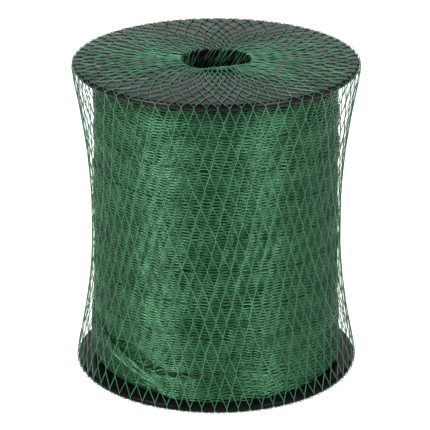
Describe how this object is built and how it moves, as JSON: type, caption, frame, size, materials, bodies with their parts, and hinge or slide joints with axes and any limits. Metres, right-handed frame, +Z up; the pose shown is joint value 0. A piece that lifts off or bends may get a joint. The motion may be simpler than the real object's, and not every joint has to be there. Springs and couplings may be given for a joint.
{
  "type": "netting roll on a flanged spool",
  "caption": "Fine tubular netting wound on a flanged spool with an open core, held in a wide-mesh net sleeve tucked into both ends.",
  "frame": {"origin": "on the floor under the middle of the spool's bore", "axes": "+Z up along the bore, -Y towards the front of the picture"},
  "size_m": [0.2034, 0.2034, 0.2274],
  "materials": {
    "spool_plastic": "satin black moulded plastic",
    "wound_net": "fine green plastic net with a slight sheen",
    "sleeve_net": "green knitted net strands, satin"
  },
  "bodies": {
    "root": {"flange_bottom": "spool_plastic", "flange_top": "spool_plastic", "core": "spool_plastic", "wound_netting": "wound_net", "net_sleeve": "sleeve_net"}
  },
  "joints": []
}
